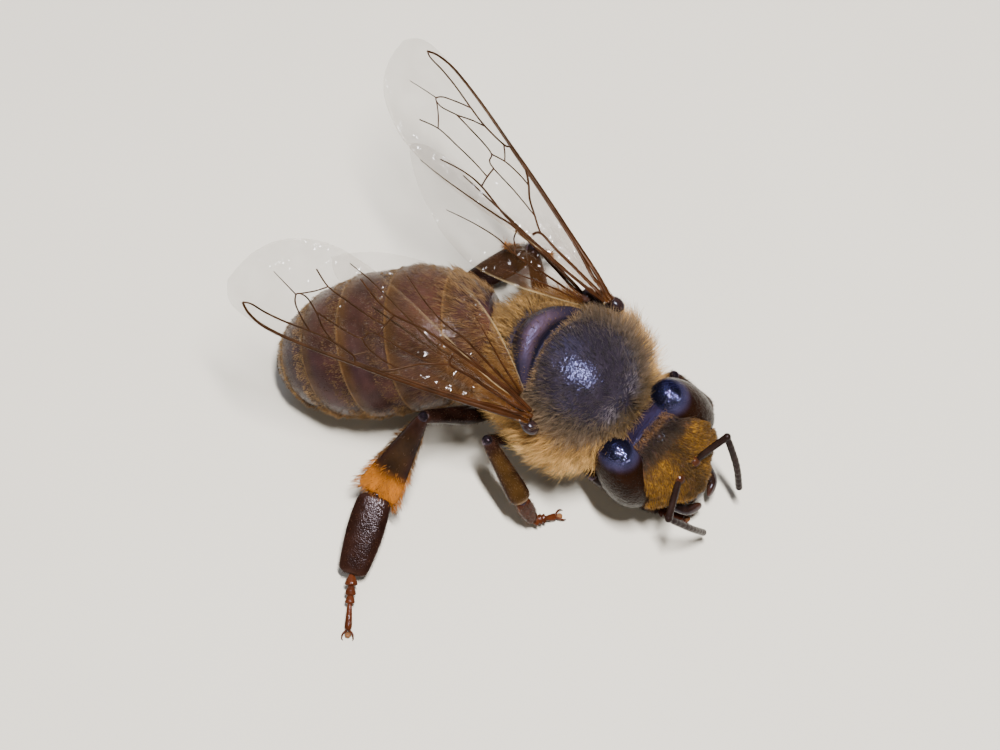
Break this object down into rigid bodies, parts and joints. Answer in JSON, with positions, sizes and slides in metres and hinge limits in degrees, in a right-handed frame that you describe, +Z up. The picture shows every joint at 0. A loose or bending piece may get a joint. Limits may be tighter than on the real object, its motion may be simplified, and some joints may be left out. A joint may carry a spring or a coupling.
{
  "type": "honey bee model",
  "caption": "Life-size still model of a worker honey bee standing on its feet, abdomen swung to its right, wings half open over its back.",
  "frame": {"origin": "middle of the whole bee's box, on the floor the feet stand on", "axes": "+Z up, the bee's thorax faces -Y, +X is its left side"},
  "size_m": [0.0126, 0.013, 0.0086],
  "materials": {
    "coat": "dense short fur, dull",
    "face": "short golden hair over dark shell",
    "shell": "polished dark brown chitin",
    "band": "amber brown chitin with pale hair bands",
    "eye": "glossy black, finely faceted",
    "leg": "glossy black brown",
    "foot": "reddish dark brown",
    "feeler": "dull black brown",
    "wing": "clear amber film with dark veins"
  },
  "bodies": {
    "root": {"head": "face", "neck": "coat", "thorax": "coat", "scutellum": "coat", "petiole": "shell", "proboscis": "shell", "abdomen_1": "shell", "abdomen_2": "band", "abdomen_3": "shell", "abdomen_4": "band", "abdomen_5": "shell", "abdomen_6": "band", "eye_left": "eye", "scape_left": "feeler", "flagellum_left": "feeler", "mandible_left": "shell", "tegula_left": "shell", "forewing_left": "wing", "hindwing_left": "wing", "fore_coxa_left": "leg", "fore_femur_left": "leg", "fore_tibia_left": "leg", "fore_basitarsus_left": "leg", "fore_tarsus_left": "foot", "mid_coxa_left": "leg", "mid_femur_left": "leg", "mid_tibia_left": "leg", "mid_basitarsus_left": "leg", "mid_tarsus_left": "foot", "hind_coxa_left": "leg", "hind_femur_left": "leg", "hind_tibia_left": "leg", "hind_basitarsus_left": "leg", "hind_tarsus_left": "foot", "eye_right": "eye", "scape_right": "feeler", "flagellum_right": "feeler", "mandible_right": "shell", "tegula_right": "shell", "forewing_right": "wing", "hindwing_right": "wing", "fore_coxa_right": "leg", "fore_femur_right": "leg", "fore_tibia_right": "leg", "fore_basitarsus_right": "leg", "fore_tarsus_right": "foot", "mid_coxa_right": "leg", "mid_femur_right": "leg", "mid_tibia_right": "leg", "mid_basitarsus_right": "leg", "mid_tarsus_right": "foot", "hind_coxa_right": "leg", "hind_femur_right": "leg", "hind_tibia_right": "leg", "hind_basitarsus_right": "leg", "hind_tarsus_right": "foot"}
  },
  "joints": []
}
